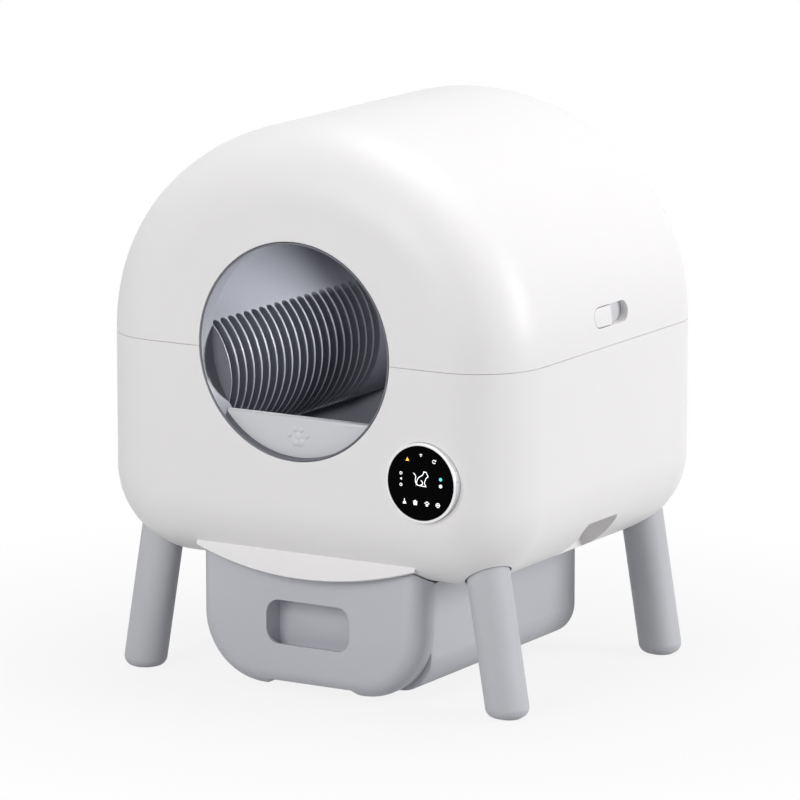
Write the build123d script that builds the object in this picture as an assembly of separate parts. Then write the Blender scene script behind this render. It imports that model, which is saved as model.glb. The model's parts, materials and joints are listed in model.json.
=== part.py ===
from build123d import *
import os
from math import acos, atan2, cos, degrees, hypot, radians, sin, sqrt, tan

# Sizes are millimetres. +X is right seen from the front, the front faces -Y, +Z is up.

# Body shell
BODY_WIDTH = 520.0
BODY_DEPTH = 462.0
EDGE_ROUND = 78.0
CORNER_MARGIN = 10.0
LOWER_CORNER_SHARE = 0.3654
ARCH_DROP = 22.0
ARCH_BLEND = 13.0
WALL = 3.0
LEG_HEIGHT = 136.0
DRUM_GAP = 7.0
UNDER_DRUM = 15.0
PARTING_DROP = 4.0
PARTING_GAP = 0.5
LIP_HEIGHT = 6.0
LIP_ROOT = 8.0
LIP_WALL = 2.0
LIP_GAP = 0.4
ENTRY_R = 118.5
ENTRY_EDGE = 1.2
SLIP_GAP = 0.3
RUN_FIT = 0.05

# Legs, seals, pads and load cells
LEG_R = 23.6
LEG_WALL = 4.0
LEG_GAP = 2.2
LEG_FLOOR = 8.0
LEG_SPLAY = 9.5
LEG_ROUND = 11.0
LEG_SEAT = 42.0
FOOT_INSET_X = 29.0
FOOT_INSET_Y = 60.0
PAD_R = 13.0
PAD_PROUD = 0.4
PAD_LET_IN = 3.0
CELL_R = 20.0
CELL_HEIGHT = 5.0
SOCKET_WALL = 3.0
SEAL_SET = 1.4

# Drum
DRUM_WALL = 3.0
DRUM_ROUND = 70.0
DRUM_FRONT_GAP = 19.0
DRUM_REAR_GAP = 19.0
NECK_WALL = 1.8
NECK_GAP = 0.8
NECK_SET_BACK = 1.0
FLANGE_WIDTH = 4.0
PORT_WIDTH = 120.0
PORT_MARGIN = 10.0
DRUM_SCREWS = 8
DRUM_SCREW_R = 1.5
DRUM_SCREW_HEAD_R = 2.8
DRUM_SCREW_HEAD = 1.8

# Drum drive
RING_TEETH = 150
PINION_TEETH = 18
RING_WALL = 3.0
GEAR_WIDTH = 12.0
GEAR_BACKLASH = 0.6
GEAR_INSET = 22.0
PRESSURE_ANGLE = 20.0
DEDENDUM_SHARE = 1.25
SHAFT_R = 4.0
MOTOR_R = 24.0
MOTOR_LENGTH = 56.0
MOTOR_LIFT = 4.0
BRACKET_PLATE = 3.0
BRACKET_GAP = 4.0
BRACKET_RIM = 6.0
BRACKET_FOOT_GAP = 6.5
BRACKET_FOOT_WIDTH = 30.0
BRACKET_FOOT_LENGTH = 15.0

# Rollers and chassis
ROLLER_ANGLE = 30.0
TYRE_R = 15.0
TYRE_BORE = 8.0
TYRE_WIDTH = 18.0
TYRE_INSET = 35.0
COLLAR_R = 11.0
COLLAR_WIDTH = 3.0
CHASSIS_PLATE = 3.0
EAR_WIDTH = 6.0
EAR_INSET = 7.0
EAR_R = 9.0
EAR_FOOT = 24.0
CHASSIS_RIM = 12.0
FLOOR_SCREW_R = 2.0
FLOOR_SCREW_HEAD_R = 4.0
FLOOR_SCREW_HEAD = 2.4

# Waste chute, rails and drawer
CHUTE_WIDTH = 144.0
CHUTE_END_GAP = 60.0
CHUTE_WALL = 2.5
CHUTE_RISE = 10.0
CHUTE_BELOW = 2.0
CHUTE_FLANGE = 8.0
DRAWER_HALF = 138.0
DRAWER_CORNER = 75.0
DRAWER_FRONT_INSET = 28.0
DRAWER_FRONT_DEPTH = 33.0
DRAWER_FRONT_WALL = 4.0
DRAWER_FRONT_ROUND = 19.0
DRAWER_FLOOR_GAP = 5.0
DRAWER_BODY_GAP = 1.5
BIN_STEP = 3.0
BIN_CORNER = 38.0
BIN_WALL = 2.5
BIN_BACK_INSET = 85.0
BIN_ROUND = 2.0
BIN_DROP = 3.0
RIM_DROP = 14.0
RIM_HEIGHT = 3.0
RIM_REACH = 5.0
RAIL_LIP = 5.0
RAIL_WALL = 3.0
RAIL_INSET = 20.0
RAIL_BACK_GAP = 30.0
LEDGE_WIDTH = 4.0
BAG_FRAME_HEIGHT = 3.0
BAG_FRAME_WIDTH = 9.0
BAG_FRAME_GAP = 1.0
HANDLE_WIDTH = 105.0
HANDLE_HEIGHT = 49.0
HANDLE_CORNER = 16.0
HANDLE_DEPTH = 27.0
HANDLE_SINK = 8.0
HANDLE_WALL = 2.5
HANDLE_Z = 78.5
NOTCH_HALF = 52.0
NOTCH_SLOPE = 8.0
NOTCH_HEIGHT = 7.5
DRAWER_BOSS_R = 5.0
DRAWER_SCREW_R = 2.0
DRAWER_SCREW_HEAD_R = 4.0
DRAWER_SCREW_HEAD = 2.2
DRAWER_SCREW_BITE = 12.0
DRAWER_SCREW_X = 95.0
DRAWER_SCREW_Z = 90.0

# Hood over the drawer
HOOD_HALF = 137.0
HOOD_ANGLE = 45.0
HOOD_DROP = 25.0
HOOD_REACH = 12.2
HOOD_END = 4.5
HOOD_ROOT = 2.5
HOOD_WALL = 4.0
HOOD_GAP = 1.0

# Hand-holds
HAND_WIDTH = 70.0
HAND_Y = 3.5
HAND_RISE = 49.0
HAND_DEPTH = 57.5
HAND_WALL = 3.0
HAND_ROUND = 7.0

# Side latches
LATCH_RISE = 29.0
RECESS_LENGTH = 74.0
RECESS_HEIGHT = 23.0
RECESS_SET = 8.0
RECESS_FLOOR = 2.5
RECESS_RIM = 4.0
LATCH_GAP = 0.4
LATCH_LENGTH = 38.0
LATCH_TRAVEL = 24.0
BUTTON_GAP = 1.2
LATCH_PLATE = 4.5
LATCH_LAP = 2.0
LATCH_TAB_LENGTH = 16.0
LATCH_FOOT_LENGTH = 18.0
LATCH_FOOT_HEIGHT = 5.0
LATCH_FOOT_DROP = 25.0
KEEPER_HOOK = 18.0
KEEPER_HEIGHT = 4.0
KEEPER_POST = 6.0
KEEPER_GAP = 1.5
KEEPER_LEAD = 4.0
KEEPER_ROOT = 16.0

# Display
DISPLAY_INSET = 99.0
DISPLAY_DROP = 123.5
DISPLAY_R = 40.0
DISPLAY_PROUD = 6.0
BEZEL_WALL = 3.0
BEZEL_EDGE = 0.8
BEZEL_DEPTH = 20.0
GLASS_HEIGHT = 2.0
GLASS_SET = 0.6
GLASS_SEAT = 3.0
BOSS_WALL = 3.0
BOARD_THICK = 1.6
CAP_HEIGHT = 2.0
CAP_PIN_R = 3.0
CAP_PIN_CIRCLE = 28.0
CAP_PINS = 3
DISPLAY_BOARD_GAP = 9.0

# Boards, sensors and inlet
BOARD_LENGTH = 110.0
BOARD_WIDTH = 30.0
BOARD_X = -85.0
BOARD_INSET = 63.0
BOARD_LIFT = 9.0
BOARD_POST_R = 3.5
BOARD_POST_INSET = 5.0
CHIP_WIDTH = 16.0
CHIP_HEIGHT = 3.0
INLET_INSET = 140.0
INLET_RISE = 28.0
INLET_R = 7.0
INLET_FLANGE_R = 10.0
INLET_FLANGE = 2.0
INLET_LENGTH = 14.0
INLET_SOCKET_R = 4.5
INLET_SOCKET_DEPTH = 10.0
INLET_PIN_R = 1.2
SENSOR_WIDTH = 40.0
SENSOR_HEIGHT = 20.0
SENSOR_DEPTH = 4.0
SENSOR_GAP = 16.0
MAGNET_SIZE = 8.0
MAGNET_HEIGHT = 3.0
MAGNET_INSET = 15.0
HALL_WIDTH = 16.0
HALL_LENGTH = 12.0
HALL_GAP = 5.0

# Sieve, threshold and mat inside the drum
SIEVE_R = 88.0
SIEVE_INSET = 38.0
SIEVE_DROP = 44.0
SIEVE_WALL = 3.0
SIEVE_RIB_DEPTH = 20.0
SIEVE_TOP_ANGLE = 46.0
SIEVE_BOTTOM_ANGLE = -62.0
SIEVE_PITCH = 15.6
SIEVE_SLOT = 12.4
SIEVE_FRONT_GAP = 11.2
SIEVE_OPEN_SLOTS = 4
SIEVE_BACK_GAP = 112.0
SIEVE_PANEL_LENGTH = 130.0
STEP_TOP_DROP = 72.0
STEP_DEPTH = 12.0
STEP_SET_BACK = 9.0
STEP_EDGE = 3.0
PAW_PAD_R = 5.0
PAW_TOE_R = 3.1
PAW_RELIEF = 1.4
PAW_DROP = 97.0
PAW_PAD_RING = 3.8
PAW_PAD_ANGLES = (90.0, 215.0, 325.0)
PAW_TOE_RING = 12.4
PAW_TOE_ANGLES = (26.0, 70.0, 110.0, 154.0)
MAT_WALL = 2.0
MAT_START = 226.0
MAT_SWEEP = 100.0
MAT_END_GAP = 17.0

# Worked out from the sizes above
HALF_WIDTH = BODY_WIDTH / 2
HALF_DEPTH = BODY_DEPTH / 2
LOWER_CORNER = LOWER_CORNER_SHARE * HALF_WIDTH
RISE = HALF_WIDTH - ARCH_DROP
SIDE_ARC_R = RISE - ARCH_BLEND
SIDE_ARC_X = HALF_WIDTH - SIDE_ARC_R
TOP_ARC_R = (SIDE_ARC_X ** 2 + RISE ** 2 - SIDE_ARC_R ** 2) / (2 * ARCH_BLEND)
ARC_JOIN = degrees(atan2(TOP_ARC_R - RISE, SIDE_ARC_X))
ROUND = min(EDGE_ROUND, LOWER_CORNER - CORNER_MARGIN)
GEAR_TIP_R = RISE - WALL - DRUM_GAP
FLOOR_Z = LEG_HEIGHT + WALL
AXIS_Z = FLOOR_Z + UNDER_DRUM + GEAR_TIP_R
BODY_TOP = AXIS_Z + RISE
PARTING_Z = AXIS_Z - PARTING_DROP
FRONT_Y = -HALF_DEPTH
BACK_Y = HALF_DEPTH
MODULE = GEAR_TIP_R / (RING_TEETH / 2 + 1)
RING_ROOT_R = GEAR_TIP_R - (1 + DEDENDUM_SHARE) * MODULE
DRUM_R = RING_ROOT_R - RING_WALL - SLIP_GAP
DRUM_FRONT = FRONT_Y + DRUM_FRONT_GAP
DRUM_BACK = BACK_Y - DRUM_REAR_GAP
NECK_R = ENTRY_R - NECK_GAP
NECK_INNER_R = NECK_R - NECK_WALL
ROUND_Y = HALF_DEPTH - ROUND
ROUND_Z = LEG_HEIGHT + ROUND
SOCKET_TOP = LEG_HEIGHT + LEG_SEAT + CELL_HEIGHT + SOCKET_WALL
CENTRE_DISTANCE = MODULE * (RING_TEETH + PINION_TEETH) / 2 + GEAR_BACKLASH
PINION_Z = SOCKET_TOP + MOTOR_LIFT + MOTOR_R
PINION_ANGLE = degrees(acos((AXIS_Z - PINION_Z) / CENTRE_DISTANCE))
PINION_X = CENTRE_DISTANCE * sin(radians(PINION_ANGLE))
GEAR_OFFSET = DRUM_BACK - DRUM_ROUND - GEAR_INSET
BRACKET_Y = GEAR_OFFSET + GEAR_WIDTH + BRACKET_GAP
MOTOR_Y = BRACKET_Y + BRACKET_PLATE
ROLLER_DISTANCE = DRUM_R + SLIP_GAP + TYRE_R
ROLLER_X = ROLLER_DISTANCE * sin(radians(ROLLER_ANGLE))
ROLLER_Z = AXIS_Z - ROLLER_DISTANCE * cos(radians(ROLLER_ANGLE))
EAR_OFFSET = ROUND_Y - EAR_INSET - EAR_WIDTH
TYRE_OFFSET = EAR_OFFSET - TYRE_INSET
CHUTE_LENGTH = 2 * (EAR_OFFSET - CHUTE_END_GAP)
PORT_LENGTH = CHUTE_LENGTH - 2 * PORT_MARGIN
CHASSIS_HALF = ROLLER_X + CHASSIS_RIM
CHASSIS_TOP = FLOOR_Z + CHASSIS_PLATE
FOOT_X = HALF_WIDTH - FOOT_INSET_X
FOOT_Y = HALF_DEPTH - FOOT_INSET_Y
LEG_LENGTH = (LEG_HEIGHT + LEG_SEAT) / cos(radians(LEG_SPLAY))
HOOD_Y = -ROUND_Y - ROUND * sin(radians(HOOD_ANGLE))
HOOD_Z = ROUND_Z - ROUND * cos(radians(HOOD_ANGLE))
HOOD_LENGTH = hypot(HOOD_DROP, HOOD_REACH)
HOOD_DOWN = Vector(0, -HOOD_REACH, -HOOD_DROP).normalized()
HOOD_LOW = HOOD_Z - HOOD_DROP - HOOD_WALL * HOOD_REACH / HOOD_LENGTH - HOOD_GAP
HOOD_END_LOW = HOOD_LOW + (HOOD_LENGTH - HOOD_END) * HOOD_DROP / HOOD_LENGTH
DRAWER_FRONT_Y = FRONT_Y + DRAWER_FRONT_INSET
DRAWER_BACK_Y = DRAWER_FRONT_Y + DRAWER_FRONT_DEPTH
BIN_HALF = DRAWER_HALF - BIN_STEP
BIN_BACK = BACK_Y - BIN_BACK_INSET
BIN_TOP = LEG_HEIGHT - BIN_DROP
BIN_INSIDE = BIN_HALF - BIN_WALL
RIM_LOW = LEG_HEIGHT - RIM_DROP - RIM_HEIGHT
RAIL_LIP_TOP = RIM_LOW - SLIP_GAP
RAIL_LOW = RAIL_LIP_TOP - RAIL_WALL
BAG_FRAME_LOW = RAIL_LOW - BAG_FRAME_GAP - BAG_FRAME_HEIGHT
LATCH_Z = AXIS_Z + LATCH_RISE
RECESS_X = HALF_WIDTH - RECESS_SET
PAD_X = RECESS_X - RECESS_FLOOR
LATCH_BACK = LATCH_LENGTH - RECESS_LENGTH / 2
PLATE_BACK = LATCH_BACK - LATCH_LENGTH / 2 + LATCH_TAB_LENGTH / 2
FOOT_BACK = PLATE_BACK + LATCH_FOOT_LENGTH
HOOK_FRONT = PLATE_BACK + LATCH_TRAVEL + KEEPER_LEAD
HOOK_BACK = HOOK_FRONT + KEEPER_HOOK
HOOK_Z = LATCH_Z - LATCH_FOOT_DROP + LATCH_FOOT_HEIGHT + KEEPER_GAP
DISPLAY_X = HALF_WIDTH - DISPLAY_INSET
DISPLAY_Z = AXIS_Z - DISPLAY_DROP
DISPLAY_FACE = FRONT_Y - DISPLAY_PROUD
BEZEL_R = DISPLAY_R + BEZEL_WALL
BEZEL_BACK = DISPLAY_FACE + BEZEL_DEPTH
DISPLAY_BOARD_Y = DISPLAY_FACE + DISPLAY_BOARD_GAP
BOARD_Y = BACK_Y - BOARD_INSET
BOARD_Z = FLOOR_Z + BOARD_LIFT
INLET_X = HALF_WIDTH - INLET_INSET
INLET_Z = ROUND_Z + INLET_RISE
SENSOR_LOW = AXIS_Z + ENTRY_R + SENSOR_GAP
SENSOR_TOP = SENSOR_LOW + SENSOR_HEIGHT
SENSOR_OVER = max(SENSOR_TOP - BODY_TOP + ROUND, 0)
MAGNET_Y = MAGNET_INSET - EAR_OFFSET
SIEVE_X = SIEVE_INSET - DRUM_R
SIEVE_Z = AXIS_Z - SIEVE_DROP
SIEVE_FIRST = DRUM_FRONT + SIEVE_FRONT_GAP
SIEVE_SLOTS = int((DRUM_BACK - SIEVE_BACK_GAP - SIEVE_FIRST) / SIEVE_PITCH) + 1
STEP_FRONT = DRUM_FRONT - STEP_SET_BACK
STEP_TOP = AXIS_Z - STEP_TOP_DROP
SIDES = (("left", -1), ("right", 1))
ENDS = (("front", -1), ("rear", 1))
FRAME_SHIFT = Pos(0, DISPLAY_PROUD / 2, 0)


def rod(radius, y_start, y_end, x, z):
    """A cylinder along Y."""
    return Pos(x, (y_start + y_end) / 2, z) * Rot(90, 0, 0) * Cylinder(radius, y_end - y_start)


def block(x_range, y_range, z_range):
    """A box between pairs of planes."""
    spans = [high - low for low, high in (x_range, y_range, z_range)]
    middle = [(high + low) / 2 for low, high in (x_range, y_range, z_range)]
    return Pos(*middle) * Box(*spans)


def on_side(side, shape):
    """A shape made for the right side, mirrored where side is the left one."""
    return shape if side > 0 else mirror(shape, Plane.YZ)


def both_sides(shape):
    """A shape made for the right side and its mirror on the left."""
    return [on_side(side, shape) for _, side in SIDES]


def body_outline(inset):
    """Front outline of the body: flat bottom, rounded lower corners, straight sides, three-arc arch."""
    half = HALF_WIDTH - inset
    low = LEG_HEIGHT + inset
    corner = LOWER_CORNER - inset
    side_r = SIDE_ARC_R - inset
    with BuildSketch(Plane.XZ) as outline:
        with BuildLine():
            Line((corner - half, low), (half - corner, low))
            Line((half, low + corner), (half, AXIS_Z))
            Line((-half, low + corner), (-half, AXIS_Z))
            CenterArc((half - corner, low + corner), corner, -90, 90)
            CenterArc((corner - half, low + corner), corner, 180, 90)
            CenterArc((SIDE_ARC_X, AXIS_Z), side_r, 0, ARC_JOIN)
            CenterArc((-SIDE_ARC_X, AXIS_Z), side_r, 180 - ARC_JOIN, ARC_JOIN)
            CenterArc((0, BODY_TOP - TOP_ARC_R), TOP_ARC_R - inset, ARC_JOIN, 180 - 2 * ARC_JOIN)
        make_face()
    return outline.sketch


def body_block(inset):
    """The rounded body as a solid, set in by inset on every side."""
    solid = extrude(body_outline(inset), HALF_DEPTH - inset, both=True)
    ends = solid.faces().filter_by(Axis.Y)
    return fillet(ends.edges(), ROUND - inset)


BODY_OUTER = body_block(0)
BODY_INNER = body_block(WALL)


def body_shell():
    """The whole shell with the entry cut in its front."""
    shell = BODY_OUTER - BODY_INNER - rod(ENTRY_R, FRONT_Y - ROUND, FRONT_Y + ROUND, 0, AXIS_Z)
    rims = [e for e in shell.edges().filter_by(GeomType.CIRCLE) if abs(e.radius - ENTRY_R) < SLIP_GAP]
    return fillet(rims[0] if rims[0].center().Y < rims[-1].center().Y else rims[-1], ENTRY_EDGE)


SHELL = body_shell()


def above(solid, z):
    return split(solid, Plane.XY.offset(z), keep=Keep.TOP)


def below(solid, z):
    return split(solid, Plane.XY.offset(z), keep=Keep.BOTTOM)


def leg_place(side, end):
    """Frame of one leg: the origin on the floor, Z along the leaning leg."""
    return Pos(side * FOOT_X, end * FOOT_Y, 0) * Rot(0, -side * LEG_SPLAY, 0)


def up_cylinder(radius, z_start, z_end):
    """A cylinder along Z from z_start to z_end."""
    return Pos(0, 0, (z_start + z_end) / 2) * Cylinder(radius, z_end - z_start)


def make_leg(side, end):
    """A hollow leg with a flat rounded sole and a recess for its pad."""
    leg = leg_place(side, end) * up_cylinder(LEG_R, -LEG_R, LEG_LENGTH)
    leg = above(leg, PAD_PROUD)
    sole = leg.faces().sort_by(Axis.Z)[0]
    leg = fillet(sole.edges(), LEG_ROUND)
    leg -= leg_place(side, end) * up_cylinder(LEG_R - LEG_WALL, LEG_R + LEG_FLOOR, LEG_LENGTH)
    recess = up_cylinder(PAD_R + SLIP_GAP, 0, PAD_PROUD + PAD_LET_IN)
    return leg - Pos(side * FOOT_X, end * FOOT_Y, 0) * recess


def make_leg_seals():
    """Rubber sleeves that fill the gaps round the legs, set in from the skin of the housing."""
    sleeve = up_cylinder(LEG_R + LEG_GAP - SLIP_GAP, 0, LEG_LENGTH)
    sleeve -= up_cylinder(LEG_R + SLIP_GAP, 0, LEG_LENGTH)
    inside = body_block(SEAL_SET)
    return [leg_place(s, e) * sleeve & inside for _, s in SIDES for _, e in ENDS]


def make_foot_pads():
    pad = up_cylinder(PAD_R, 0, PAD_PROUD + PAD_LET_IN)
    return [Pos(s * FOOT_X, e * FOOT_Y, 0) * pad for _, s in SIDES for _, e in ENDS]


def make_load_cells():
    """Ring load cells between the leg tops and the socket roofs."""
    cell = up_cylinder(CELL_R, LEG_LENGTH, LEG_LENGTH + CELL_HEIGHT)
    return [leg_place(s, e) * cell for _, s in SIDES for _, e in ENDS]


def leg_sockets():
    """Closed tubes that take the legs, and the bores through them."""
    bore_r = LEG_R + LEG_GAP
    roof = LEG_LENGTH + CELL_HEIGHT
    tube = up_cylinder(bore_r + SOCKET_WALL, 0, roof + SOCKET_WALL)
    bore = up_cylinder(bore_r, 0, roof)
    places = [leg_place(s, e) for _, s in SIDES for _, e in ENDS]
    return [p * tube & BODY_OUTER for p in places], [p * bore for p in places]


def parting_lip():
    """The upstand of the lower housing that centres the cover."""
    ledge = BODY_INNER - body_block(WALL + LIP_GAP + LIP_WALL)
    low_edge = PARTING_Z - PARTING_GAP / 2
    root = below(above(ledge, PARTING_Z - LIP_ROOT), low_edge)
    ring = body_block(WALL + LIP_GAP) & ledge
    ring = below(above(ring, low_edge - LIP_WALL), PARTING_Z + LIP_HEIGHT)
    return root + ring - rod(ENTRY_R + LIP_ROOT, FRONT_Y, FRONT_Y + ROUND, 0, AXIS_Z)


def hood():
    """The tilted plate over the drawer, with its curved lower edge."""
    plane = Plane(origin=(0, HOOD_Y, HOOD_Z), x_dir=(1, 0, 0), z_dir=(0, -HOOD_DOWN.Z, HOOD_DOWN.Y))
    with BuildSketch(plane) as face:
        with BuildLine():
            Polyline((-HOOD_HALF, HOOD_END), (-HOOD_HALF, -HOOD_ROOT), (HOOD_HALF, -HOOD_ROOT),
                     (HOOD_HALF, HOOD_END))
            ThreePointArc((-HOOD_HALF, HOOD_END), (0, HOOD_LENGTH), (HOOD_HALF, HOOD_END))
        make_face()
    return extrude(face.sketch, HOOD_WALL)


def hand_cup():
    """The closed pocket of the right hand-hold, and its hollow."""
    deep = HALF_WIDTH - HAND_DEPTH
    half = HAND_WIDTH / 2
    top = LEG_HEIGHT + HAND_RISE
    hollow = block((deep, BODY_WIDTH), (HAND_Y - half, HAND_Y + half), (0, top))
    hollow = fillet(hollow.edges().filter_by(Axis.X).group_by(Axis.Z)[-1], HAND_ROUND)
    walls = block((deep - HAND_WALL, BODY_WIDTH),
                  (HAND_Y - half - HAND_WALL, HAND_Y + half + HAND_WALL), (0, top + HAND_WALL))
    return walls & BODY_OUTER, hollow


def keeper():
    """The hook on the right of the lower housing that a latch foot slides under."""
    x_range = (PAD_X - LATCH_GAP - LATCH_PLATE, PAD_X - LATCH_GAP)
    root_x = (PAD_X - LATCH_GAP - LATCH_PLATE, HALF_WIDTH)
    low_edge = PARTING_Z - PARTING_GAP / 2
    post_back = HOOK_BACK + KEEPER_POST
    y_range = (HOOK_FRONT, post_back)
    hook_top = HOOK_Z + KEEPER_HEIGHT
    post = block(x_range, (HOOK_BACK, post_back), (low_edge - KEEPER_ROOT, hook_top))
    hook = block(x_range, y_range, (HOOK_Z, hook_top))
    root = block(root_x, y_range, (low_edge - KEEPER_ROOT, low_edge)) & BODY_OUTER
    return post + hook + root


def board_posts():
    """Posts on the housing floor under the corners of the control board."""
    dx = BOARD_LENGTH / 2 - BOARD_POST_INSET
    dy = BOARD_WIDTH / 2 - BOARD_POST_INSET
    post = up_cylinder(BOARD_POST_R, LEG_HEIGHT, BOARD_Z)
    return [Pos(BOARD_X + i * dx, BOARD_Y + j * dy, 0) * post & BODY_OUTER for i in (-1, 1) for j in (-1, 1)]


def floor_screw_holes(places, plate):
    """Holes through the housing floor and a plate of that thickness on it."""
    hole = up_cylinder(FLOOR_SCREW_R + RUN_FIT, LEG_HEIGHT, FLOOR_Z + plate)
    return [Pos(x, y, 0) * hole for x, y in places]


def floor_screws(places, plate):
    """Screws that hold a plate of that thickness to the housing floor."""
    top = FLOOR_Z + plate
    screw = up_cylinder(FLOOR_SCREW_HEAD_R, top, top + FLOOR_SCREW_HEAD)
    screw += up_cylinder(FLOOR_SCREW_R, LEG_HEIGHT, top)
    return [Pos(x, y, 0) * screw for x, y in places]


def chassis_screw_places():
    dx = ROLLER_X
    dy = EAR_OFFSET - EAR_FOOT
    return [(i * dx, j * dy) for i in (-1, 1) for j in (-1, 1)]


def make_lower_housing():
    tubes, bores = leg_sockets()
    cup, hollow = hand_cup()
    boss_end = BEZEL_BACK
    boss = rod(BEZEL_R + SLIP_GAP + BOSS_WALL, FRONT_Y, boss_end, DISPLAY_X, DISPLAY_Z) & BODY_OUTER
    housing = below(SHELL, PARTING_Z - PARTING_GAP / 2)
    housing += [parting_lip(), hood(), boss] + tubes + both_sides(cup) + board_posts()
    housing += both_sides(keeper())
    housing -= bores + both_sides(hollow)
    housing -= rod(BEZEL_R + SLIP_GAP, FRONT_Y - ROUND, boss_end, DISPLAY_X, DISPLAY_Z)
    housing -= rod(INLET_R + SLIP_GAP, BACK_Y - ROUND, BACK_Y + ROUND, INLET_X, INLET_Z)
    half_x = CHUTE_WIDTH / 2 + CHUTE_WALL + SLIP_GAP
    half_y = CHUTE_LENGTH / 2 + CHUTE_WALL + SLIP_GAP
    housing -= block((-half_x, half_x), (-half_y, half_y), (0, FLOOR_Z + WALL))
    return housing - floor_screw_holes(chassis_screw_places() + bracket_screw_places(), 0)


def obround(length, height, near, far):
    """An obround bar through the right side wall, centred on the latch."""
    sketch = Plane.YZ.offset(near) * Pos(0, LATCH_Z) * SlotOverall(length, height)
    return extrude(sketch, far - near)


def make_top_cover():
    cover = above(SHELL, PARTING_Z + PARTING_GAP / 2)
    pad = obround(RECESS_LENGTH + 2 * RECESS_RIM, RECESS_HEIGHT + 2 * RECESS_RIM, PAD_X, HALF_WIDTH)
    cover += both_sides(pad & BODY_OUTER)
    return cover - both_sides(obround(RECESS_LENGTH, RECESS_HEIGHT, PAD_X - WALL, BODY_WIDTH))


def make_latch_button(side):
    """The button in the front of the recess, on the slide behind the cover."""
    inner = PAD_X - LATCH_GAP
    button = obround(RECESS_LENGTH - 2 * BUTTON_GAP, RECESS_HEIGHT - 2 * BUTTON_GAP, inner, HALF_WIDTH)
    button &= block((0, BODY_WIDTH), (-RECESS_LENGTH, LATCH_BACK), (0, BODY_TOP))
    return on_side(side, button & body_block(LATCH_GAP))


def make_latch_slide(side):
    """The plate that closes the recess from behind along the whole travel, and its locking foot."""
    x_range = (PAD_X - LATCH_GAP - LATCH_PLATE, PAD_X - LATCH_GAP)
    half_y = RECESS_LENGTH / 2 + LATCH_LAP
    half_z = RECESS_HEIGHT / 2 + LATCH_LAP
    foot_z = LATCH_Z - LATCH_FOOT_DROP
    plate = block(x_range, (-half_y - LATCH_TRAVEL, half_y), (LATCH_Z - half_z, LATCH_Z + half_z))
    tab = block(x_range, (PLATE_BACK - LATCH_TAB_LENGTH, PLATE_BACK), (foot_z, LATCH_Z))
    foot = block(x_range, (PLATE_BACK, FOOT_BACK), (foot_z, foot_z + LATCH_FOOT_HEIGHT))
    return on_side(side, plate + tab + foot)


def drum_block(inset):
    """The drum as a solid of revolution, set in by inset."""
    radius = DRUM_R - inset
    front = DRUM_FRONT + inset
    back = DRUM_BACK - inset
    corner = DRUM_ROUND - inset
    with BuildSketch() as half:
        with BuildLine():
            Line((0, front), (radius - corner, front))
            CenterArc((radius - corner, front + corner), corner, -90, 90)
            Line((radius, front + corner), (radius, back - corner))
            CenterArc((radius - corner, back - corner), corner, 0, 90)
            Line((radius - corner, back), (0, back))
            Line((0, back), (0, front))
        make_face()
    return Pos(0, 0, AXIS_Z) * revolve(half.sketch, Axis.Y)


DRUM_OUTER = drum_block(0)
DRUM_INNER = drum_block(DRUM_WALL)


def drum_screw_places():
    """Screws round the flange, clear of the waste port at the top."""
    step = 360 / DRUM_SCREWS
    return [Pos(0, 0, AXIS_Z) * Rot(0, step * (i + 0.5), 0) for i in range(DRUM_SCREWS)]


def screw_circle():
    return (DRUM_R + GEAR_TIP_R) / 2


def drum_body():
    """Both drum shells as one, with collar hole, flange, waste port and screw holes."""
    body = DRUM_OUTER - DRUM_INNER
    body += rod(GEAR_TIP_R, -FLANGE_WIDTH, FLANGE_WIDTH, 0, AXIS_Z) - DRUM_OUTER
    body -= rod(NECK_R + RUN_FIT, FRONT_Y, DRUM_FRONT + DRUM_WALL, 0, AXIS_Z)
    half_x = PORT_WIDTH / 2
    half_y = PORT_LENGTH / 2
    body -= block((-half_x, half_x), (-half_y, half_y), (AXIS_Z, BODY_TOP))
    hole = rod(DRUM_SCREW_R + RUN_FIT, -FLANGE_WIDTH, FLANGE_WIDTH, 0, screw_circle())
    sink = rod(DRUM_SCREW_HEAD_R + SLIP_GAP, -FLANGE_WIDTH, DRUM_SCREW_HEAD + SLIP_GAP - FLANGE_WIDTH,
               0, screw_circle())
    for place in drum_screw_places():
        body -= [place * hole, place * sink]
    return body


def make_drum_shells():
    body = drum_body()
    front = split(body, Plane.XZ, keep=Keep.TOP)
    rear = split(body, Plane.XZ, keep=Keep.BOTTOM)
    return front, rear


def make_entry_collar():
    """The tube bonded into the front shell, which reaches out to the entry."""
    y_range = (FRONT_Y + NECK_SET_BACK, DRUM_FRONT + DRUM_WALL)
    return rod(NECK_R, *y_range, 0, AXIS_Z) - rod(NECK_INNER_R, *y_range, 0, AXIS_Z)


def make_drum_screws():
    head_end = DRUM_SCREW_HEAD + SLIP_GAP - FLANGE_WIDTH
    head = rod(DRUM_SCREW_HEAD_R, head_end - DRUM_SCREW_HEAD, head_end, 0, screw_circle())
    shank = rod(DRUM_SCREW_R, head_end, FLANGE_WIDTH, 0, screw_circle())
    return [place * (head + shank) for place in drum_screw_places()]


def gear_outline(teeth, thin):
    """Corner points of a straight-flanked gear, its teeth thinned by thin at the pitch line."""
    pitch_r = MODULE * teeth / 2
    half_tooth = 90 / teeth - degrees(thin / 2 / pitch_r)
    lean = degrees(tan(radians(PRESSURE_ANGLE)) / pitch_r)
    low = -DEDENDUM_SHARE * MODULE
    corners = []
    for i in range(teeth):
        for height, way in ((low, -1), (MODULE, -1), (MODULE, 1), (low, 1)):
            turn = radians(360 / teeth * i + way * (half_tooth - lean * height))
            corners.append(((pitch_r + height) * cos(turn), (pitch_r + height) * sin(turn)))
    return corners


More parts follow.
